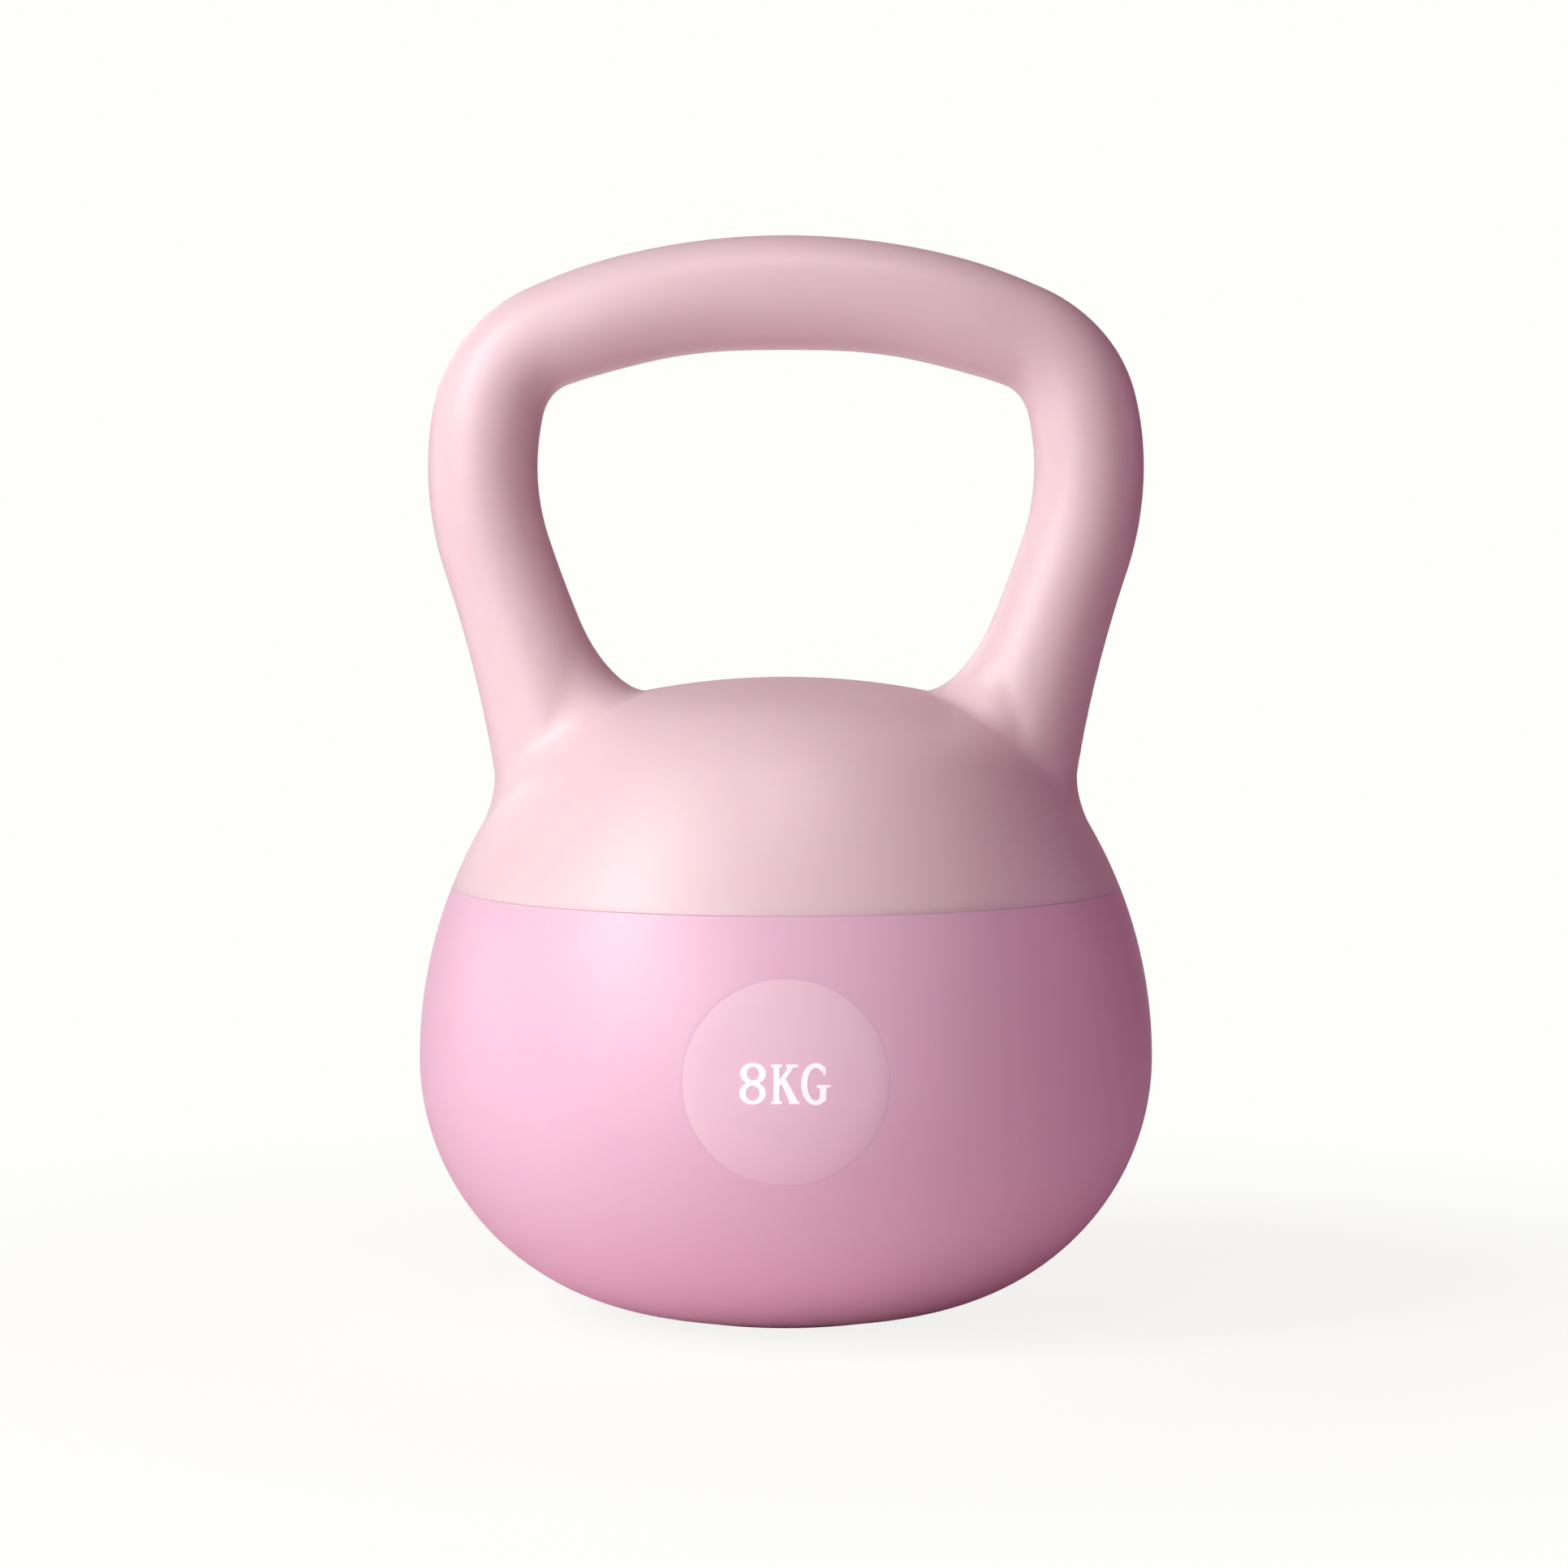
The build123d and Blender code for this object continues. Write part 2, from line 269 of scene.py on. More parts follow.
def whole_line(moves, step):
    """Both halves of a line along the handle, from the left root over the bar to the right root."""
    right = half_line(moves, step)
    left = [(-place.conjugate(), heading.conjugate(), -length) for place, heading, length in right]
    return left[:0:-1] + right


grip_step = 0.5
grip_line = whole_line(handle_arcs + [(leg_run + root_overrun, 0)], grip_step)
grip_tree = KDTree(len(grip_line))
for number, (place, heading, length) in enumerate(grip_line):
    grip_tree.insert((place.real, 0, place.imag), number)
grip_tree.balance()
grip_places = np.array([(place.real, 0, place.imag) for place, heading, length in grip_line])
grip_headings = np.array([(heading.real, 0, heading.imag) for place, heading, length in grip_line])
grip_lengths = np.array([abs(length) for place, heading, length in grip_line])


def grip_radius_at(length):
    """Radius of the handle at a length from the bar's middle: drawn in at the corner, flared at the root."""
    pinch = corner_pinch * np.exp(-(((length - pinch_place) / pinch_reach) ** 2))
    flare = np.maximum(length - leg_begin, 0) ** 2 / (2 * flare_radius)
    return grip_radius - pinch + flare


def handle_field(points):
    """Distance of points from the handle's outside, fuller under the bar, and the direction away from it."""
    nearest = np.array([grip_tree.find(point)[1] for point in points])
    ahead = np.sum((points - grip_places[nearest]) * grip_headings[nearest], axis=1)
    away = points - grip_places[nearest] - ahead[:, None] * grip_headings[nearest]
    reach = np.linalg.norm(away, axis=1)
    away /= reach[:, None]
    length = grip_lengths[nearest]
    belly = bar_belly * np.exp(-((length / belly_reach) ** 2)) * np.maximum(-away[:, 2], 0) ** 2
    return reach - grip_radius_at(length) - belly, away


def cover_form(points, rounds=3):
    """Points moved onto the cover's outside: dome and handle joined by a fillet at each root.

    The fillet is small and round in front of a leg and outside it. Between the legs it is oval,
    longer up the leg than along the dome.
    """
    for _ in range(rounds):
        dome, dome_away = dome_field(points)
        grip, grip_away = handle_field(points)
        outward = grip_away[:, 0] * np.sign(points[:, 0])
        inside = np.maximum(-outward, 0)
        around = root_fillet + (root_fillet_outer - root_fillet) * np.maximum(outward, 0)
        climb = around + (root_fillet_up - root_fillet) * inside
        creep = around + (root_fillet_along - root_fillet) * inside
        near_dome = np.maximum(1 - dome / climb, 0)
        near_grip = np.maximum(1 - grip / creep, 0)
        near = np.hypot(near_dome, near_grip)
        excess = np.maximum(np.minimum(dome / climb, grip / creep), 1) - near
        slope = dome_away * (near_dome / climb)[:, None] + grip_away * (near_grip / creep)[:, None]
        slope /= np.maximum(near, tiny)[:, None]
        steepness = np.maximum(np.sum(slope**2, axis=1), tiny)
        points = points - (excess / steepness)[:, None] * slope
    return points


def settled(points, edges, fixed, rounds):
    """Points of a mesh on the cover's form spread evenly, with the fixed ones left where they are."""
    share = np.bincount(edges.ravel(), minlength=len(points))[:, None]
    for _ in range(rounds):
        total = np.zeros_like(points)
        np.add.at(total, edges[:, 0], points[edges[:, 1]])
        np.add.at(total, edges[:, 1], points[edges[:, 0]])
        moved = cover_form(total / share)
        moved[fixed] = points[fixed]
        points = moved
    return points


# Meshes


def mesh_of(name, points, faces):
    """Mesh from points in millimetres."""
    mesh = bpy.data.meshes.new(name)
    mesh.from_pydata([Vector(point) * MM for point in points], [], faces)
    mesh.update()
    return mesh


def placed(name, data):
    """New object at the origin, linked into the scene."""
    piece = bpy.data.objects.new(name, data)
    bpy.context.scene.collection.objects.link(piece)
    return piece


merge_distance = 1e-7
sharp_angle = radians(40)


def finished(name, mesh, body, material, replaced=None):
    """Piece of the object from a finished mesh, riding on its body with its material."""
    work = bmesh.new()
    work.from_mesh(mesh)
    bmesh.ops.remove_doubles(work, verts=work.verts, dist=merge_distance)
    bmesh.ops.recalc_face_normals(work, faces=work.faces)
    work.to_mesh(mesh)
    work.free()
    mesh.shade_smooth()
    mesh.set_sharp_from_angle(angle=sharp_angle)
    mesh.materials.clear()
    mesh.materials.append(material)
    piece = placed(name, mesh)
    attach(piece, body)
    if replaced:
        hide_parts(replaced)
    return piece


def plain_mesh(maker):
    """Plain mesh of an object with its modifiers; the object is removed."""
    bpy.context.view_layer.update()
    evaluated = maker.evaluated_get(bpy.context.evaluated_depsgraph_get())
    mesh = bpy.data.meshes.new_from_object(evaluated)
    bpy.data.objects.remove(maker)
    return mesh


def subdivided(mesh, levels):
    """Plain mesh of a coarse mesh, rounded by subdivision."""
    maker = placed("maker", mesh)
    modifier = maker.modifiers.new("Shape", "SUBSURF")
    modifier.levels = levels
    modifier.render_levels = levels
    return plain_mesh(maker)


# Cover

sectors = 32
tube_sides = 12
root_ring_columns = 2
cage_spreads = [34.0, 55.0, 75.0, 79.2]
crown_patch_spread = 26.0
root_centre_x = 54.0
root_half_x = 21.0
root_half_y = 27.0
tube_rings = 31
tube_overrun = 20.0
tube_reach = leg_begin + tube_overrun
bridge_rings = 3
cover_levels = 3
cage_rounds = 30
skin_rounds = 4


def square_turn(i, j):
    """Angle of a place of a square grid when the square is pressed into a circle."""
    if abs(i) >= abs(j):
        return (pi / 4) * j / i + (pi if i < 0 else 0) if i else 0.0
    return pi / 2 - (pi / 4) * i / j + (pi if j < 0 else 0)


def crown_patch(add):
    """Square grid pressed into a circle at the crown, as its edge points by column and its faces."""
    half = sectors // 8
    grid = {}
    edge = {}
    for i in range(-half, half + 1):
        for j in range(-half, half + 1):
            reach = max(abs(i), abs(j))
            spread = reach / half * crown_patch_spread
            turn = square_turn(i, j)
            grid[i, j] = add((spread * cos(turn), spread * sin(turn), dome_height(spread)))
            if reach == half:
                edge[round(turn * sectors / (2 * pi)) % sectors] = grid[i, j]
    faces = []
    for i in range(-half, half):
        for j in range(-half, half):
            faces.append([grid[i, j], grid[i + 1, j], grid[i + 1, j + 1], grid[i, j + 1]])
    return edge, faces


def cover_cage():
    """Coarse mesh of the cover's outside: dome grid with an opening at each root, bridged by the handle."""
    points = []

    def add(point):
        points.append(point)
        return len(points) - 1

    edge, faces = crown_patch(add)
    rim_spread = side_radius(seam_height + lip_radius)
    rows = [edge]
    roots = {1: {}, -1: {}}
    for number, spread in enumerate(cage_spreads + [rim_spread]):
        row = {}
        for column in range(sectors):
            angle = 2 * pi * column / sectors
            side = 1 if cos(angle) > 0 else -1
            offset = (column + sectors // 4) % (sectors // 2) - sectors // 4
            offset *= side
            # Points near a root stand round its opening, numbered like the corners of the handle's rings
            corner = None
            if number == 0 and abs(offset) <= root_ring_columns:
                corner = tube_sides // 2 - offset
            elif number == 1 and abs(offset) <= root_ring_columns:
                if abs(offset) < root_ring_columns:
                    continue
                corner = tube_sides // 4 * (1 if offset > 0 else 3)
            elif number == 2 and abs(offset) <= root_ring_columns:
                corner = offset % tube_sides
            if corner is None:
                x = spread * cos(angle)
                y = spread * sin(angle)
            else:
                turn = 2 * pi * corner / tube_sides
                x = side * (root_centre_x + root_half_x * cos(turn))
                y = root_half_y * sin(turn)
            row[column] = add((x, y, dome_height(hypot(x, y))))
            if corner is not None:
                roots[side][corner] = row[column]
        rows.append(row)
    for number, (upper, lower) in enumerate(zip(rows, rows[1:])):
        for column in range(sectors):
            beside = (column + 1) % sectors
            from_root = (column + root_ring_columns) % (sectors // 2)
            if number in (1, 2) and from_root < 2 * root_ring_columns:
                continue
            faces.append([upper[column], upper[beside], lower[beside], lower[column]])
    fixed = list(rows[-1].values())

    lengths = np.array([length for place, heading, length in grip_line])
    tube = []
    for length in np.linspace(-tube_reach, tube_reach, tube_rings):
        place, heading, _ = grip_line[int(np.abs(lengths - length).argmin())]
        outward = heading * 1j
        ring = []
        for corner in range(tube_sides):
            turn = 2 * pi * corner / tube_sides
            radius = grip_radius_at(abs(length))
            spot = place + outward * radius * cos(turn)
            ring.append(add((spot.real, radius * sin(turn), spot.imag)))
        tube.append(ring)

    def bridge(root, ring):
        """Rings between a root's opening in the dome and the handle's end ring."""
        made = []
        for step in range(1, bridge_rings + 1):
            part = step / (bridge_rings + 1)
            made.append([
                add(np.array(points[root[corner]]) * (1 - part) + np.array(points[ring[corner]]) * part)
                for corner in range(tube_sides)
            ])
        return made

    left = [roots[-1][corner] for corner in range(tube_sides)]
    right = [roots[1][corner] for corner in range(tube_sides)]
    rings = [left, *bridge(left, tube[0]), *tube, *bridge(right, tube[-1])[::-1], right]
    for ring, following in zip(rings, rings[1:]):
        for corner in range(tube_sides):
            beside = (corner + 1) % tube_sides
            faces.append([ring[corner], ring[beside], following[beside], following[corner]])
    return np.array([tuple(point) for point in points]), faces, fixed


def edges_of(mesh):
    """Pairs of point numbers along a mesh's edges."""
    pairs = np.zeros(len(mesh.edges) * 2, dtype=np.int32)
    mesh.edges.foreach_get("vertices", pairs)
    return pairs.reshape(-1, 2)


def points_of(mesh):
    """Points of a mesh in millimetres."""
    flat = np.zeros(len(mesh.vertices) * 3)
    mesh.vertices.foreach_get("co", flat)
    return flat.reshape(-1, 3) / MM


def set_points(mesh, points):
    """Moves a mesh's points to places in millimetres."""
    mesh.vertices.foreach_set("co", (points * MM).ravel())
    mesh.update()


def ring_of(work, places):
    """New points of a bmesh in millimetres, in order round a ring."""
    return [work.verts.new(Vector(place) * MM) for place in places]


def strip(work, ring, following):
    """Faces between two rings of a bmesh."""
    for index in range(len(ring)):
        beside = (index + 1) % len(ring)
        work.faces.new((ring[index], ring[beside], following[beside], following[index]))


def ring_edges(work, ring):
    """Edges round a ring of a bmesh."""
    pairs = zip(ring, ring[1:] + ring[:1])
    return [work.edges.get(pair) or work.edges.new(pair) for pair in pairs]


def arc_points(centre, radius, begin, end, count):
    """Points along an arc, the first one left out."""
    steps = [begin + (end - begin) * (index + 1) / count for index in range(count)]
    return [(centre[0] + radius * cos(turn), centre[1] + radius * sin(turn)) for turn in steps]


bore_sides = 24
bore_step = 4.0
lip_steps = 5


def cover_outside():
    """Smooth outside of the cover, the numbers of the points on its rim and their angles."""
    points, faces, fixed = cover_cage()
    cage = mesh_of("cover_cage", points, faces)
    set_points(cage, settled(points, edges_of(cage), fixed, cage_rounds))
    mesh = subdivided(cage, cover_levels)
    points = points_of(mesh)
    edges = edges_of(mesh)
    loops = np.zeros(len(mesh.loops), dtype=np.int32)
    mesh.loops.foreach_get("edge_index", loops)
    rim = np.unique(edges[np.bincount(loops, minlength=len(edges)) == 1])
    angles = np.arctan2(points[rim, 1], points[rim, 0])
    rim_spread = side_radius(seam_height + lip_radius)
    points[rim, 0] = rim_spread * np.cos(angles)
    points[rim, 1] = rim_spread * np.sin(angles)
    points[rim, 2] = seam_height + lip_radius
    inside = np.setdiff1d(np.arange(len(points)), rim)
    points[inside] = cover_form(points[inside])
    set_points(mesh, settled(points, edges, rim, skin_rounds))
    return mesh, rim, angles


def skirt_profile():
    """Profile of the cover from its rim inwards: rolled lip, groove for the tongue and pocket for the pan."""
    lip_centre = (side_radius(seam_height + lip_radius) - lip_radius, seam_height + lip_radius)
    groove_half = tongue_half + fit_gap
    groove_top = seam_height + tongue_height + fit_gap
    profile = arc_points(lip_centre, lip_radius, 0, -pi / 2, lip_steps)
    profile += [(tongue_radius + groove_half, seam_height), (tongue_radius + groove_half, groove_top)]
    profile += [(tongue_radius - groove_half, groove_top), (tongue_radius - groove_half, seam_height)]
    return profile + [(pocket_radius, seam_height), (pocket_radius, plate_top)]


def add_bore(work):
    """Bore for the steel bar in a bmesh of the cover, as the edges round its two ends."""
    bore_radius = core_radius + fit_gap
    bends = [(leg_run, 0), (core_bend_radius, -leg_tilt), (core_stub, 0)]
    rings = []
    for place, heading, _ in whole_line(handle_arcs + bends, bore_step):
        spots = []
        for corner in range(bore_sides):
            turn = 2 * pi * corner / bore_sides
            spot = place + heading * 1j * bore_radius * cos(turn)
            spots.append((spot.real, bore_radius * sin(turn), spot.imag))
        rings.append(ring_of(work, spots))
    for ring, following in zip(rings, rings[1:]):
        strip(work, ring, following)
    return ring_edges(work, rings[0]) + ring_edges(work, rings[-1])


def cover_mesh():
    """Cover: smooth outside, rolled lip at the seam, pocket for the pan and bore for the steel bar."""
    mesh, rim, angles = cover_outside()
    work = bmesh.new()
    work.from_mesh(mesh)
    work.verts.ensure_lookup_table()
    order = np.argsort(angles)
    ring = [work.verts[number] for number in rim[order]]
    for spread, height in skirt_profile():
        spots = [(spread * cos(turn), spread * sin(turn), height) for turn in angles[order]]
        following = ring_of(work, spots)
        strip(work, ring, following)
        ring = following
    openings = ring_edges(work, ring) + add_bore(work)
    bmesh.ops.triangle_fill(work, use_beauty=True, use_dissolve=False, edges=openings)
    work.to_mesh(mesh)
    work.free()
    return mesh


# Node graphs


class Wire:
    """Output of a node. Arithmetic on it adds Math nodes to its graph."""

    def __init__(self, graph, socket):
        self.graph = graph
        self.socket = socket

    def __getitem__(self, name):
        return Wire(self.graph, self.socket.node.outputs[name])

    def math(self, operation, first, second):
        return self.graph.add("ShaderNodeMath", {"operation": operation}, {0: first, 1: second})

    def __add__(self, other):
        return self.math("ADD", self, other)

    def __radd__(self, other):
        return self.math("ADD", other, self)

    def __sub__(self, other):
        return self.math("SUBTRACT", self, other)

    def __rsub__(self, other):
        return self.math("SUBTRACT", other, self)

    def __mul__(self, other):
        return self.math("MULTIPLY", self, other)

    def __rmul__(self, other):
        return self.math("MULTIPLY", other, self)

    def __truediv__(self, other):
        return self.math("DIVIDE", self, other)

    def __rtruediv__(self, other):
        return self.math("DIVIDE", other, self)

    def __mod__(self, other):
        return self.math("FLOORED_MODULO", self, other)


class Graph:
    """Node tree under construction."""

    def __init__(self, tree):
        self.tree = tree
        tree.nodes.clear()

    def add(self, kind, settings=None, sockets=None):
        """New node with its settings, then the values or links of its sockets; gives its first output."""
        node = self.tree.nodes.new(kind)
        for name, value in (settings or {}).items():
            setattr(node, name, value)
        for name, value in (sockets or {}).items():
            if isinstance(value, Wire):
                self.tree.links.new(value.socket, node.inputs[name])
            else:
                node.inputs[name].default_value = value
        return Wire(self, node.outputs[0]) if node.outputs else None


def shape_tree(name, inputs):
    """Geometry tree with named inputs, as its graph and its inputs by name."""
    tree = bpy.data.node_groups.new(name, "GeometryNodeTree")
    tree.interface.new_socket("Geometry", in_out="INPUT", socket_type="NodeSocketGeometry")
    for label, kind in inputs.items():
        tree.interface.new_socket(label, in_out="INPUT", socket_type=kind)
    tree.interface.new_socket("Geometry", in_out="OUTPUT", socket_type="NodeSocketGeometry")
    graph = Graph(tree)
    return graph, graph.add("NodeGroupInput")


def shape_end(graph, geometry, material):
    """Ends a geometry tree with plain geometry in one material."""
    plain = graph.add("GeometryNodeRealizeInstances", sockets={"Geometry": geometry})
    dressed = graph.add("GeometryNodeSetMaterial", sockets={"Geometry": plain, "Material": material})
    graph.add("NodeGroupOutput", sockets={0: dressed})
    return graph.tree


def shaped(name, tree, source, values):
    """Plain mesh that a geometry tree makes of a source mesh with the values of its named inputs."""
    maker = placed(name, source)
    modifier = maker.modifiers.new("Shape", "NODES")
    modifier.node_group = tree
    for item in tree.interface.items_tree:
        if item.in_out == "INPUT" and item.name in values:
            modifier[item.identifier] = values[item.name]
    return plain_mesh(maker)


lathe_merge = 1e-6


def lathe_tree():
    """Turns a row of points, spread along X and height along Z, about the Z axis."""
    graph, given = shape_tree(
        "lathe", {"Segments": "NodeSocketInt", "Material": "NodeSocketMaterial"}
    )
    count = graph.add(
        "GeometryNodeAttributeDomainSize", {"component": "MESH"}, {"Geometry": given["Geometry"]}
    )
    grid = graph.add(
        "GeometryNodeMeshGrid",
        sockets={"Vertices X": given["Segments"] + 1, "Vertices Y": count["Point Count"]},
    )
    index = graph.add("GeometryNodeInputIndex")
    row = index % count["Point Count"]
    column = (index - row) / count["Point Count"]
    profile = graph.add(
        "GeometryNodeSampleIndex",
        {"data_type": "FLOAT_VECTOR"},
        {"Geometry": given["Geometry"], "Value": graph.add("GeometryNodeInputPosition"), "Index": row},
    )
    spot = graph.add("ShaderNodeSeparateXYZ", sockets={0: profile})
    turn = column * (2 * pi) / given["Segments"]
    x = spot["X"] * graph.add("ShaderNodeMath", {"operation": "COSINE"}, {0: turn})
    y = spot["X"] * graph.add("ShaderNodeMath", {"operation": "SINE"}, {0: turn})
    place = graph.add("ShaderNodeCombineXYZ", sockets={"X": x, "Y": y, "Z": spot["Z"]})
    turned = graph.add("GeometryNodeSetPosition", sockets={"Geometry": grid, "Position": place})
    merge = {"Geometry": turned, "Distance": lathe_merge}
    closed = graph.add("GeometryNodeMergeByDistance", sockets=merge)
    return shape_end(graph, closed, given["Material"])


lathe = lathe_tree()


def turned(name, profile, segments, material):
    """Mesh of a closed profile, (spread, height) in millimetres, turned about the axis."""
    row = mesh_of(name, [(spread, 0, height) for spread, height in profile + profile[:1]], [])
    return shaped(name, lathe, row, {"Segments": segments, "Material": material})


# Bulb and disc

bulb_segments = 256
wall_step = 1.5
front_tolerance = 0.5
seat_clear = 5.0
seat_floor_parts = (0.6, 0.2)
edge_steps = 4


def bulb_wall(inset, low, high):
    """Profile of the bulb's wall between two heights, moved in by an inset."""
    count = ceil((high - low) / wall_step)
    heights = [low + (high - low) * (1 - cos(pi * index / count)) / 2 for index in range(count + 1)]
    profile = []
    for height in heights:
        slope = side_slope(height)
        scale = inset / hypot(1, slope)
        profile.append((side_radius(height) - scale, height + slope * scale))
    return profile


def recess_height():
    """Height at which the bulb's outside meets the recess of the foot."""
    reach = (recess_radius - foot_flat_radius) / (bulb_radius - foot_flat_radius)
    return belly_height - (belly_height - foot_lift) * sqrt(1 - reach**2)


def bulb_profile():
    """Closed profile of the bulb: outside, seam lip, ledge, collar, inside, boss and recess."""
    lip_height = seam_height - lip_radius
    lip_centre = (side_radius(lip_height) - lip_radius, lip_height)
    ledge_bottom = seam_height - ledge_thickness
    wall = bulb_wall(shell_wall, recess_height(), ledge_bottom)
    inside = [(spread, height) for spread, height in wall if spread > boss_radius and height <= ledge_bottom]
    spreads, heights = zip(*[(spread, height) for spread, height in wall if height < belly_height])
    boss_foot = np.interp(boss_radius, spreads, heights)
    profile = bulb_wall(0.0, recess_height(), lip_height)
    profile += arc_points(lip_centre, lip_radius, 0, pi / 2, lip_steps)
    tongue_top = seam_height + tongue_height
    profile += [(tongue_radius + tongue_half, seam_height), (tongue_radius + tongue_half, tongue_top)]
    profile += [(tongue_radius - tongue_half, tongue_top), (tongue_radius - tongue_half, seam_height)]
    profile += [(collar_outer, seam_height), (collar_outer, collar_top), (collar_inner, collar_top)]
    profile += [(collar_inner, ledge_bottom), (inside[-1][0], ledge_bottom)]
    profile += inside[::-1]
    profile += [(boss_radius, boss_foot), (boss_radius, boss_top)]
    profile += [(port_radius, boss_top), (port_radius, pad_thickness)]
    profile += [(recess_radius, pad_thickness)]
    return profile


def front_place(x, height, depth):
    """Place on the bulb's front at a sideways place and a height, below its surface by a depth."""
    spread = side_radius(height)
    y = -sqrt(spread**2 - x**2)
    out = Vector((x / spread, y / spread, -side_slope(height))).normalized()
    return Vector((x, y, height)) - out * depth


def front_ring(turns, radius, depth):
    """Places round a ring about the disc's centre, below the bulb's surface by a depth."""
    return [
        front_place(radius * cos(turn), disc_height + radius * sin(turn), depth) for turn in turns
    ]


def edge_rings(radius, edge_round, top, inward):
    """Rings over a rounded edge, as (radius, depth); inward is 1 for a disc and -1 for a seat."""
    bends = [pi / 2 * index / edge_steps for index in range(edge_steps + 1)]
    return [
        (radius - inward * edge_round * (1 - sin(bend)), top + edge_round * (1 - cos(bend)))
        for bend in bends
    ]


def bulb_mesh(material):
    """Bulb with a shallow round seat for the weight disc in its front."""
    mesh = turned("bulb", bulb_profile(), bulb_segments, material)
    work = bmesh.new()
    work.from_mesh(mesh)
    bmesh.ops.recalc_face_normals(work, faces=work.faces)
    clear = disc_radius + seat_clear

    def off_centre(point):
        return hypot(point.co.x / MM, point.co.z / MM - disc_height)

    def on_front(point):
        depth = side_radius(point.co.z / MM) - hypot(point.co.x, point.co.y) / MM
        return point.co.y < 0 and depth < front_tolerance

    doomed = [
        face for face in work.faces
        if all(off_centre(point) < clear and on_front(point) for point in face.verts)
    ]
    bmesh.ops.delete(work, geom=doomed, context="FACES")

    def turn_of(point):
        return atan2(point.co.z / MM - disc_height, point.co.x / MM)

    loop = sorted((point for point in work.verts if point.is_boundary), key=turn_of)
    turns = [turn_of(point) for point in loop]
    seat_radius = disc_radius + disc_edge_gap
    rings = [(seat_radius + seat_band, 0.0)]
    rings += edge_rings(seat_radius, seat_edge_round, 0.0, -1)
    rings += [(seat_radius, seat_depth)]
    rings += [(seat_radius * part, seat_depth) for part in seat_floor_parts]
    for radius, depth in rings:
        following = ring_of(work, front_ring(turns, radius, depth))
        strip(work, loop, following)
        loop = following
    work.faces.new(loop)
    work.to_mesh(mesh)
    work.free()
    return mesh


disc_segments = 192
disc_face_parts = (0.1, 0.25, 0.4, 0.55, 0.7, 0.85)
disc_back_part = 0.5


def disc_mesh():
    """Weight disc, curved like the bulb, with a rounded edge."""
    turns = [2 * pi * index / disc_segments for index in range(disc_segments)]
    back = disc_thickness - disc_proud
    rings = [(disc_radius * part, -disc_proud) for part in disc_face_parts]
    rings += edge_rings(disc_radius, disc_edge_round, -disc_proud, 1)
    rings += [(disc_radius, back), (disc_radius * disc_back_part, back)]
    work = bmesh.new()
    ring = ring_of(work, front_ring(turns, *rings[0]))
    work.faces.new(ring)
    for radius, depth in rings[1:]:
        following = ring_of(work, front_ring(turns, radius, depth))
        strip(work, ring, following)
        ring = following
    work.faces.new(ring)
    mesh = bpy.data.meshes.new("weight_disc")
    work.to_mesh(mesh)
    work.free()
    return mesh


# Weight mark: letters with slab serifs, their corners in millimetres from the disc's centre


def block(left, right, low, high):
    """Straight stroke of a letter."""
    return [(left, low), (right, low), (right, high), (left, high)]


def bowl(centre, outer, inner, begin=0.0, end=2 * pi, steps=36):
    """Round stroke of a letter between two ellipses, (half width, half height), as four-sided pieces."""
    turns = [begin + (end - begin) * index / steps for index in range(steps + 1)]

    def rim(half, turn):
        return (centre[0] + half[0] * cos(turn), centre[1] + half[1] * sin(turn))

    return [[rim(outer, a), rim(outer, b), rim(inner, b), rim(inner, a)] for a, b in zip(turns, turns[1:])]


def letter_eight():
    """Two bowls, the lower one larger."""
    upper = bowl((-7.55, 2.40), (2.95, 2.45), (1.45, 1.60))
    lower = bowl((-7.65, -2.15), (3.05, 2.60), (1.60, 1.80))
    return upper + lower


def letter_kay():
    """Stem, thin arm and thick leg, each end on a serif."""
    stem = block(-2.8, -1.5, -4.6, 4.5)
    arm = [(-1.6, -0.5), (-0.8, 0.1), (1.9, 4.0), (0.8, 4.0), (-1.6, 0.8)]
    leg = [(-1.1, 0.3), (1.0, -4.3), (3.0, -4.3), (-0.1, 1.3)]
    upper_serifs = [block(left, right, 3.9, 4.5) for left, right in ((-3.4, -0.9), (0.1, 2.8))]
    lower_serifs = [block(left, right, -4.6, -4.0) for left, right in ((-3.4, -0.9), (0.7, 3.2))]
    return [stem, arm, leg, *upper_serifs, *lower_serifs]


def letter_gee():
    """Open bowl with a hooked end, a spur and a crossbar."""
    curve = bowl((6.9, -0.05), (3.35, 4.85), (1.95, 3.80), radians(50), radians(305))
    hook = [(8.0, 3.4), (8.5, 2.9), (8.75, 1.9), (9.0, 1.9), (9.35, 2.7), (9.1, 3.8), (8.2, 4.4)]
    spur = [(7.9, -0.6), (7.9, -3.4), (8.8, -4.15), (9.35, -3.8), (9.35, -0.6)]
    crossbar = [(7.3, -0.95), (9.3, -0.95), (10.2, -0.75), (10.4, -0.35), (7.1, -0.25)]
    return [*curve, hook, spur, crossbar]


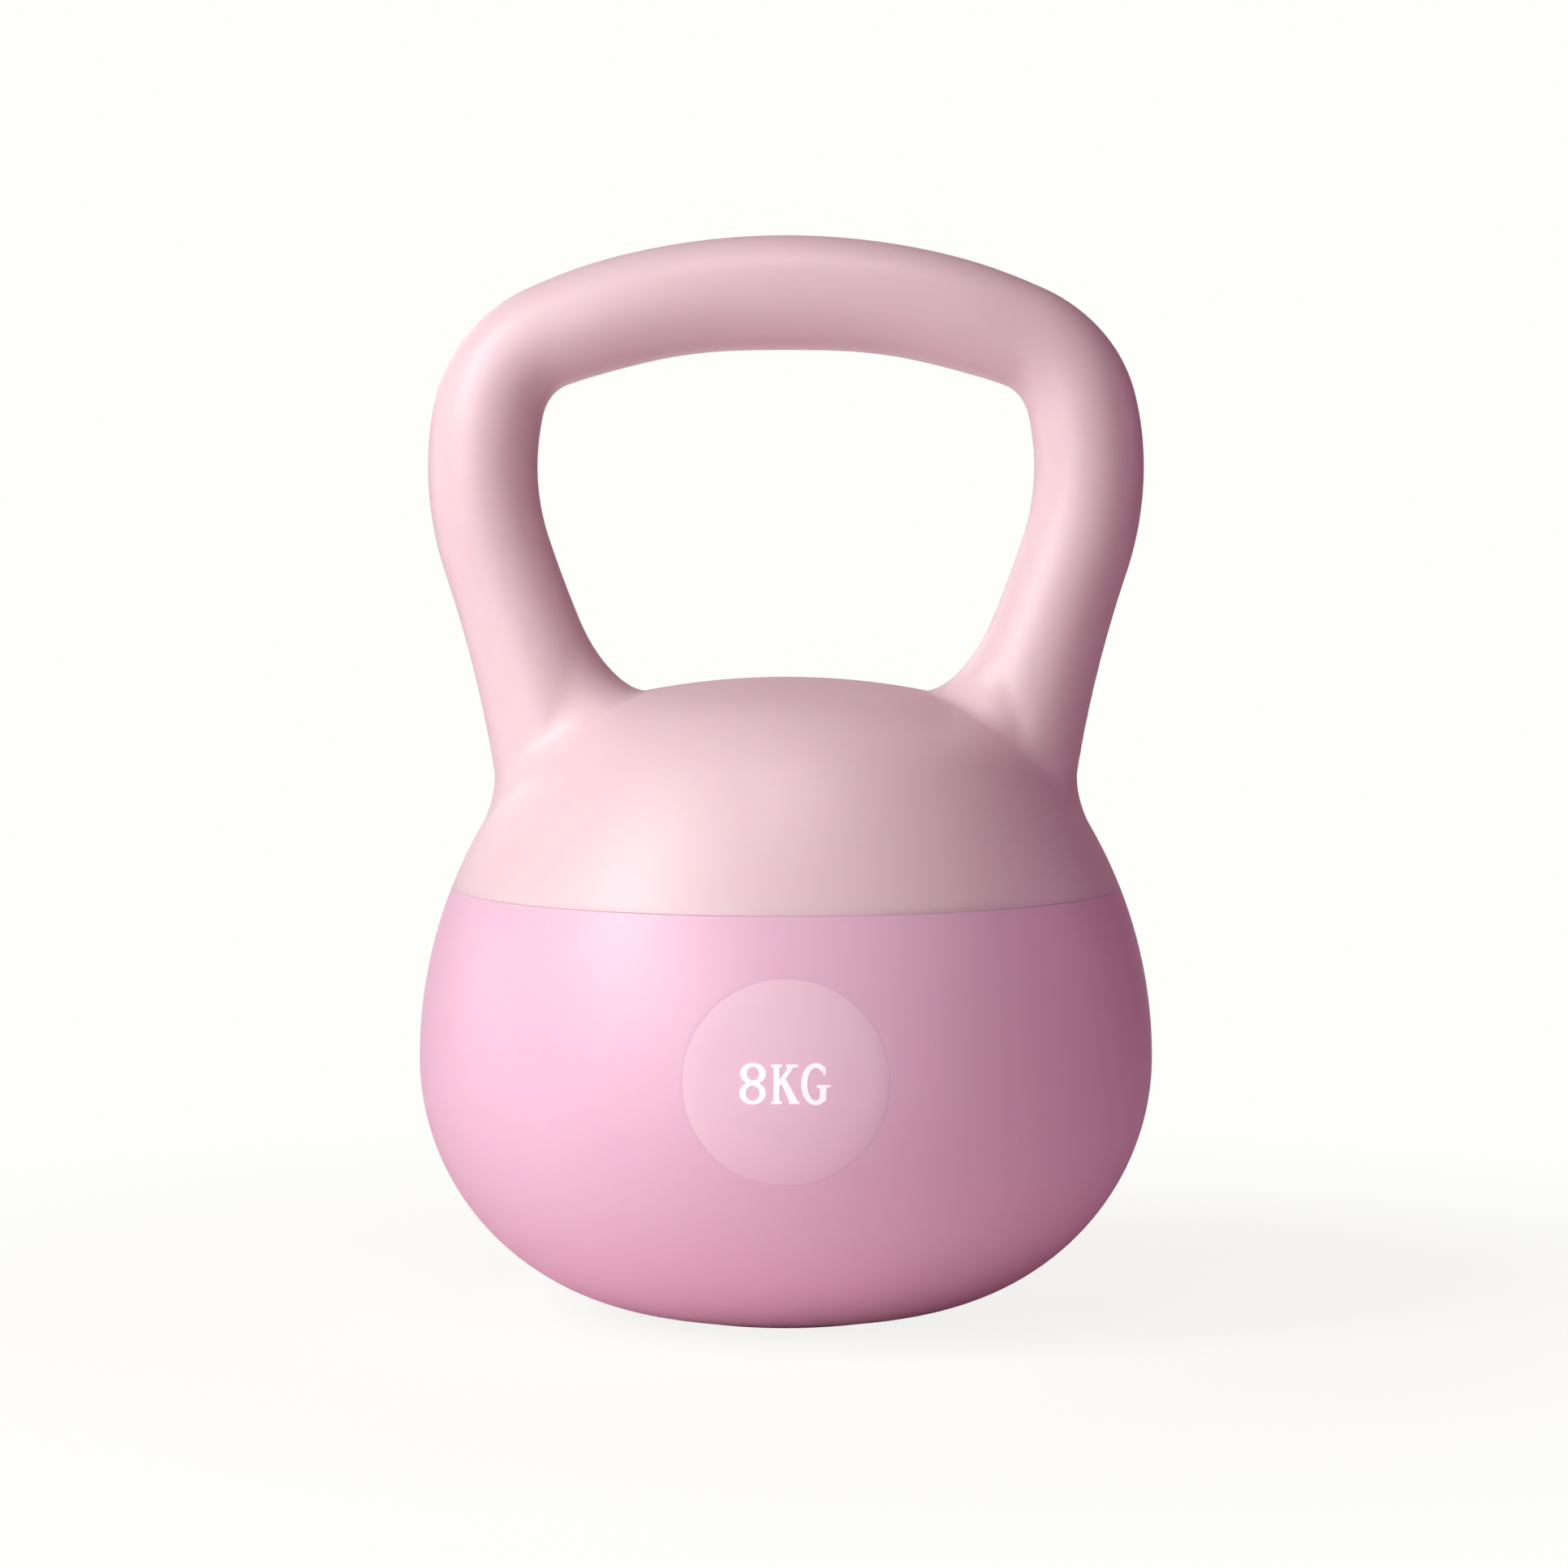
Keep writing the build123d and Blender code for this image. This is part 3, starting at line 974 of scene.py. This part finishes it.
def mark_mesh():
    """Weight mark: the letters joined into one thin sheet, sliced fine and laid on the disc."""
    strokes = letter_eight() + letter_kay() + letter_gee()
    corners = [Vector(corner) for stroke in strokes for corner in stroke]
    numbers = iter(range(len(corners)))
    outlines = [[next(numbers) for _ in stroke] for stroke in strokes]
    spots, _, sheets, _, _, sources = delaunay_2d_cdt(corners, [], outlines, 0, mark_tolerance)
    work = bmesh.new()
    points = [work.verts.new((*spot, 0)) for spot in spots]
    for sheet, source in zip(sheets, sources):
        if source:
            work.faces.new([points[index] for index in sheet])
    bmesh.ops.delete(work, geom=[point for point in work.verts if not point.link_faces], context="VERTS")
    for axis in range(2):
        normal = Vector((axis == 0, axis == 1, 0))
        reach = ceil(max(abs(point.co[axis]) for point in work.verts) / mark_slice)
        for step in range(-reach, reach + 1):
            geometry = work.verts[:] + work.edges[:] + work.faces[:]
            cut = normal * step * mark_slice
            bmesh.ops.bisect_plane(
                work, geom=geometry, plane_co=cut, plane_no=normal, dist=slice_tolerance
            )
    raised = bmesh.ops.extrude_face_region(work, geom=work.faces[:])
    for item in raised["geom"]:
        if isinstance(item, bmesh.types.BMVert):
            item.co.z = 2 * mark_relief
    for point in work.verts:
        depth = mark_relief - disc_proud - point.co.z
        point.co = front_place(point.co.x, disc_height + point.co.y, depth) * MM
    mesh = bpy.data.meshes.new("weight_mark")
    work.to_mesh(mesh)
    work.free()
    return mesh


# Foot

stud_sides = 16
foot_segments = 128
foot_round_steps = 5
foot_face_parts = (0.3, 0.6)


def tread_tree():
    """Round studs in staggered rows over a round foot."""
    graph, given = shape_tree(
        "tread",
        {
            "Pitch": "NodeSocketFloat",
            "Rows": "NodeSocketInt",
            "Reach": "NodeSocketFloat",
            "Radius": "NodeSocketFloat",
            "Relief": "NodeSocketFloat",
            "Material": "NodeSocketMaterial",
        },
    )
    span = given["Pitch"] * (given["Rows"] - 1)
    grid = graph.add(
        "GeometryNodeMeshGrid",
        sockets={"Size X": span, "Size Y": span, "Vertices X": given["Rows"], "Vertices Y": given["Rows"]},
    )
    index = graph.add("GeometryNodeInputIndex")
    row = (index - index % given["Rows"]) / given["Rows"]
    shift = (row % 2 - 0.5) * given["Pitch"] / 2
    offset = graph.add("ShaderNodeCombineXYZ", sockets={"Y": shift})
    staggered = graph.add("GeometryNodeSetPosition", sockets={"Geometry": grid, "Offset": offset})
    position = graph.add("GeometryNodeInputPosition")
    spread = graph.add("ShaderNodeVectorMath", {"operation": "LENGTH"}, {0: position})["Value"]
    beyond = graph.add("FunctionNodeCompare", {"operation": "GREATER_THAN"}, {0: spread, 1: given["Reach"]})
    kept = graph.add("GeometryNodeDeleteGeometry", sockets={"Geometry": staggered, "Selection": beyond})
    stud = graph.add(
        "GeometryNodeMeshCone",
        sockets={
            "Vertices": stud_sides,
            "Radius Top": given["Radius"],
            "Radius Bottom": given["Radius"] * stud_taper,
            "Depth": given["Relief"] + stud_root * MM,
        },
    )
    studs = graph.add("GeometryNodeInstanceOnPoints", sockets={"Points": kept, "Instance": stud})
    foot = graph.add("GeometryNodeJoinGeometry", sockets={0: studs})
    graph.tree.links.new(given["Geometry"].socket, foot.socket.node.inputs[0])
    return shape_end(graph, foot, given["Material"])


def foot_mesh(material):
    """Foot pad with a rim and a studded tread inside it."""
    edge_centre = (pad_radius - foot_edge_round, foot_edge_round)
    rim_radius = pad_radius - foot_rim
    profile = [(0.0, tread_relief)]
    profile += [(pad_radius * part, tread_relief) for part in foot_face_parts]
    profile += [(rim_radius - foot_rim_slope, tread_relief), (rim_radius, 0.0)]
    profile += [(pad_radius - foot_edge_round, 0.0)]
    profile += arc_points(edge_centre, foot_edge_round, -pi / 2, 0, foot_round_steps)
    profile += [(pad_radius, pad_thickness - foot_top_round), (pad_radius - foot_top_round, pad_thickness)]
    profile += [(0.0, pad_thickness)]
    pad = turned("foot_pad", profile, foot_segments, material)
    values = {
        "Pitch": tread_pitch * MM,
        "Rows": 2 * ceil(pad_radius / tread_pitch) + 1,
        "Reach": tread_reach * MM,
        "Radius": tread_radius * MM,
        "Relief": tread_relief * MM,
        "Material": material,
    }
    return shaped("foot_pad", tread_tree(), pad, values)


# Materials


def new_material(name):
    """Empty node material, its graph and its Object coordinates."""
    material = bpy.data.materials.new(name)
    material.use_nodes = True
    graph = Graph(material.node_tree)
    return material, graph, graph.add("ShaderNodeTexCoord")["Object"]


def noise(graph, place, scale, detail):
    """Soft noise from 0 to 1 at a scale in repeats per metre."""
    return graph.add("ShaderNodeTexNoise", sockets={"Vector": place, "Scale": scale, "Detail": detail})


def blend(graph, share, first, second):
    """Colour between two colours by a share."""
    sockets = {"Factor": share, "A": first, "B": second}
    return graph.add("ShaderNodeMix", {"data_type": "RGBA"}, sockets)["Result"]


def bump(graph, height, strength, distance):
    """Normal of a surface with small relief, its height scaled to a distance in metres."""
    return graph.add(
        "ShaderNodeBump", sockets={"Height": height, "Strength": strength, "Distance": distance}
    )


def surface(graph, sockets):
    """Ends a material with one Principled shader."""
    shader = graph.add("ShaderNodeBsdfPrincipled", sockets=sockets)
    graph.add("ShaderNodeOutputMaterial", sockets={"Surface": shader})


def rgba(red, green, blue):
    """Linear colour of sRGB levels from 0 to 255."""
    levels = [level / 255 for level in (red, green, blue)]
    linear = [level / 12.92 if level <= 0.04045 else ((level + 0.055) / 1.055) ** 2.4 for level in levels]
    return (*linear, 1.0)


def soft_skin(name, light, deep, gloss):
    """Soft moulded skin: even colour with a faint cloud, satin sheen and a fine grain."""
    material, graph, place = new_material(name)
    cloud = noise(graph, place, scale=28.0, detail=3.0)
    grain = noise(graph, place, scale=1500.0, detail=2.0)
    ripple = noise(graph, place, scale=110.0, detail=1.0)
    surface(graph, {
        "Base Color": blend(graph, cloud, deep, light),
        "Roughness": gloss + (cloud - 0.5) * 0.05 + (grain - 0.5) * 0.06,
        "Normal": bump(graph, grain * 0.5 + ripple, 0.12, 0.00006),
        "Specular IOR Level": 0.7,
        "Subsurface Weight": 0.25,
        "Subsurface Radius": (1.0, 0.4, 0.55),
        "Subsurface Scale": 0.004,
    })
    return material


def steel(name, colour, tint, brushed, gloss):
    """Bare or plated steel with drawn streaks and a faint stain."""
    material, graph, place = new_material(name)
    stretched = graph.add("ShaderNodeMapping", sockets={"Vector": place, "Scale": brushed})
    streak = noise(graph, stretched, scale=600.0, detail=3.0)
    stain = noise(graph, place, scale=45.0, detail=4.0)
    surface(graph, {
        "Base Color": blend(graph, stain, colour, tint),
        "Metallic": 1.0,
        "Roughness": gloss + (streak - 0.5) * 0.2,
        "Normal": bump(graph, streak, 0.15, 0.00005),
    })
    return material


def iron_grain(name):
    """Iron sand: dark round grains with a dull shine."""
    material, graph, place = new_material(name)
    cells = graph.add("ShaderNodeTexVoronoi", sockets={"Vector": place, "Scale": 1100.0})
    shade = graph.add("ShaderNodeSeparateColor", sockets={0: cells["Color"]})["Red"]
    surface(graph, {
        "Base Color": blend(graph, shade, rgba(52, 49, 48), rgba(112, 104, 100)),
        "Metallic": shade * 0.4 + 0.3,
        "Roughness": 0.5 + shade * 0.25,
        "Normal": bump(graph, 1 - cells["Distance"], 0.8, 0.0004),
    })
    return material


def dull_plastic(name, colour, tint, gloss, glow=0.0):
    """Moulded plastic, rubber or print with a fine matt grain; a glow, which is painted light, keeps a white
    print white in shade.
    """
    material, graph, place = new_material(name)
    cloud = noise(graph, place, scale=60.0, detail=3.0)
    grain = noise(graph, place, scale=2200.0, detail=2.0)
    surface(graph, {
        "Base Color": blend(graph, cloud, colour, tint),
        "Roughness": gloss + (grain - 0.5) * 0.12,
        "Normal": bump(graph, grain, 0.2, 0.00005),
        "Emission Color": colour,
        "Emission Strength": glow,
    })
    return material


blush_skin = soft_skin("blush_skin", rgba(240, 218, 220), rgba(237, 214, 216), 0.42)
orchid_skin = soft_skin("orchid_skin", rgba(242, 204, 221), rgba(240, 199, 218), 0.42)
disc_skin = dull_plastic("disc_skin", rgba(243, 211, 223), rgba(245, 215, 226), 0.75)
# The print's white is its own colour; its faint glow is painted light that keeps it white in shade.
glowing_white_print = dull_plastic("glowing_white_print", rgba(255, 253, 254), rgba(254, 251, 253), 0.5, 0.24)
foot_rubber = dull_plastic("foot_rubber", rgba(74, 47, 60), rgba(84, 56, 70), 0.75)
drawn_bar = steel("drawn_bar", rgba(150, 148, 146), rgba(120, 117, 115), (1.0, 1.0, 0.1), 0.42)
pan_sheet = steel("pan_sheet", rgba(158, 156, 153), rgba(138, 135, 132), (0.4, 1.0, 1.0), 0.38)
zinc_plating = steel("zinc_plating", rgba(196, 200, 204), rgba(176, 178, 176), (1.0, 1.0, 1.0), 0.3)
clamp_band = steel("clamp_band", rgba(186, 186, 188), rgba(170, 170, 172), (1.0, 1.0, 0.05), 0.26)
sand_grains = iron_grain("sand_grains")
port_moulding = dull_plastic("port_moulding", rgba(226, 223, 217), rgba(214, 211, 205), 0.45)
seal_gum = dull_plastic("seal_gum", rgba(38, 37, 38), rgba(48, 47, 48), 0.7)

inner_materials = {
    "handle_core": drawn_bar,
    "anchor_plate": pan_sheet,
    "core_washers": zinc_plating,
    "core_nuts": zinc_plating,
    "neck_clamp": clamp_band,
    "iron_sand": sand_grains,
    "filler_ring": port_moulding,
    "filler_plug": port_moulding,
    "plug_seal": seal_gum,
}
for node, material in inner_materials.items():
    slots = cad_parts[node].data.materials
    slots.clear()
    slots.append(material)

finished("cover_skin", cover_mesh(), "root", blush_skin, "top_cover")
finished("bulb_skin", bulb_mesh(orchid_skin), "root", orchid_skin, "lower_shell")
finished("disc_face", disc_mesh(), "root", disc_skin, "weight_disc")
finished("weight_mark", mark_mesh(), "root", glowing_white_print)
finished("foot_pad", foot_mesh(foot_rubber), "root", foot_rubber, "base_pad")


# Stage, light and camera

background = (0.99, 0.995, 0.96, 1.0)
fill_light = (0.058, 0.003, 0.03, 1.0)
rose_room = (0.16, 0.05, 0.085, 1.0)
rose_veil = (0.6, 0.38, 0.47, 1.0)
sweep_edge = (0.86, 0.99)
floor_half = 3.0
floor_fade = (0.14, 0.36)
floor_glow = 0.87
floor_shadow = (0.155, 0.155, 0.15, 1.0)
floor_bounce = (0.84, 0.64, 0.72, 1.0)


def behind(graph, heading):
    """Share of the pale sweep behind the object in a direction from it."""
    straight = graph.add("ShaderNodeVectorMath", {"operation": "NORMALIZE"}, {0: heading})
    return graph.add(
        "ShaderNodeMapRange",
        {"interpolation_type": "SMOOTHSTEP"},
        {
            "Value": graph.add("ShaderNodeSeparateXYZ", sockets={0: straight})["Y"],
            "From Min": sweep_edge[0],
            "From Max": sweep_edge[1],
        },
    )


def floor_material():
    """Pale floor: white where it is seen, with the object's shadow on it, and plain further out."""
    material, graph, place = new_material("pale_floor")
    rays = graph.add("ShaderNodeLightPath")
    mirrored = rays["Is Glossy Ray"] + rays["Is Transmission Ray"]
    away = graph.add("ShaderNodeVectorMath", {"operation": "LENGTH"}, {0: place})["Value"]
    fade = graph.add(
        "ShaderNodeMapRange",
        {"interpolation_type": "SMOOTHSTEP"},
        {"Value": away, "From Min": floor_fade[0], "From Max": floor_fade[1]},
    )
    matt = graph.add("ShaderNodeBsdfDiffuse", sockets={"Color": floor_bounce})
    lit = graph.add("ShaderNodeBsdfDiffuse", sockets={"Color": floor_shadow})
    glow = graph.add("ShaderNodeEmission", sockets={"Color": background, "Strength": floor_glow})
    plain = graph.add("ShaderNodeEmission", sockets={"Color": background, "Strength": 1.0})
    near = graph.add("ShaderNodeAddShader", sockets={0: lit, 1: glow})
    shown = graph.add("ShaderNodeMixShader", sockets={0: fade, 1: near, 2: plain})
    seen = rays["Is Camera Ray"] + mirrored * behind(graph, place)
    mixed = graph.add("ShaderNodeMixShader", sockets={0: seen, 1: matt, 2: shown})
    graph.add("ShaderNodeOutputMaterial", sockets={"Surface": mixed})
    return material


floor_corners = [(-1, -1), (1, -1), (1, 1), (-1, 1)]
floor_mesh = bpy.data.meshes.new("floor")
floor_mesh.from_pydata([(x * floor_half, y * floor_half, 0) for x, y in floor_corners], [], [(0, 1, 2, 3)])
floor_mesh.materials.append(floor_material())
floor = placed("floor", floor_mesh)


def set_world():
    """Rosy fill light, and a pale background: all round where it is seen, rosy and behind where mirrored."""
    world = bpy.data.worlds.new("studio")
    world.use_nodes = True
    bpy.context.scene.world = world
    graph = Graph(world.node_tree)
    rays = graph.add("ShaderNodeLightPath")
    mirrored = rays["Is Glossy Ray"] + rays["Is Transmission Ray"]
    sweep = behind(graph, graph.add("ShaderNodeTexCoord")["Generated"])
    dim = graph.add("ShaderNodeBackground", sockets={"Color": fill_light, "Strength": 1.0})
    dull = graph.add("ShaderNodeBackground", sockets={"Color": rose_room, "Strength": 1.0})
    pale = graph.add("ShaderNodeBackground", sockets={"Color": background, "Strength": 1.0})
    veil = graph.add("ShaderNodeBackground", sockets={"Color": rose_veil, "Strength": 1.0})
    mirror = graph.add("ShaderNodeMixShader", sockets={0: sweep, 1: dull, 2: veil})
    unseen = graph.add("ShaderNodeMixShader", sockets={0: mirrored, 1: dim, 2: mirror})
    mixed = graph.add("ShaderNodeMixShader", sockets={0: rays["Is Camera Ray"], 1: unseen, 2: pale})
    graph.add("ShaderNodeOutputWorld", sockets={"Surface": mixed})


lamp_distance = 1.3
lamp_target = 0.13
plain_white = (1.0, 1.0, 1.0)


def add_softbox(
    name,
    azimuth,
    elevation,
    width,
    height,
    power,
    colour=plain_white,
    distance=lamp_distance,
    target=lamp_target,
    spread=180,
):
    """Rectangular softbox aimed at a height on the axis.

    Angles are in degrees, and the azimuth counts from the camera's side to the right.
    """
    lamp = bpy.data.lights.new(name, "AREA")
    lamp.color = colour
    lamp.spread = radians(spread)
    lamp.shape = "RECTANGLE"
    lamp.size = width
    lamp.size_y = height
    lamp.energy = power
    turn = radians(azimuth)
    rise = radians(elevation)
    aim = Vector((sin(turn) * cos(rise), -cos(turn) * cos(rise), sin(rise)))
    box = placed(name, lamp)
    box.location = Vector((0, 0, target)) + aim * distance
    box.rotation_euler = aim.to_track_quat("Z", "Y").to_euler()


set_world()
add_softbox("key_softbox", -61, 36, width=0.5, height=0.9, power=8.9)
add_softbox("low_softbox", -40, 15, width=0.9, height=0.6, power=5.9)
add_softbox("side_softbox", -105, 5, width=0.45, height=0.4, power=0.9)
add_softbox("top_softbox", 0, 70, width=0.45, height=0.45, power=3.1, colour=(1.0, 0.8, 0.87))
add_softbox("rear_softbox", -150, 20, width=0.45, height=0.45, power=1.4)
add_softbox("rose_card", 98, 15, width=0.6, height=0.6, power=1.2, colour=(1.0, 0.45, 0.8))
add_softbox(
    "low_card", -8, 0, width=0.3, height=0.06, power=0.017, distance=0.5, target=0.05, spread=40
)

camera_place = Vector((0.0, -1.4, 0.231))
camera_target = Vector((0.0, 0.0, 0.1299))
camera_data = bpy.data.cameras.new("camera")
camera_data.sensor_width = 36.0
camera_data.lens = 131.3
camera_data.shift_x = -0.0012
camera = placed("camera", camera_data)
camera.location = camera_place
camera.rotation_euler = (camera_place - camera_target).to_track_quat("Z", "Y").to_euler()
bpy.context.scene.camera = camera
bpy.context.scene.view_settings.view_transform = "Standard"
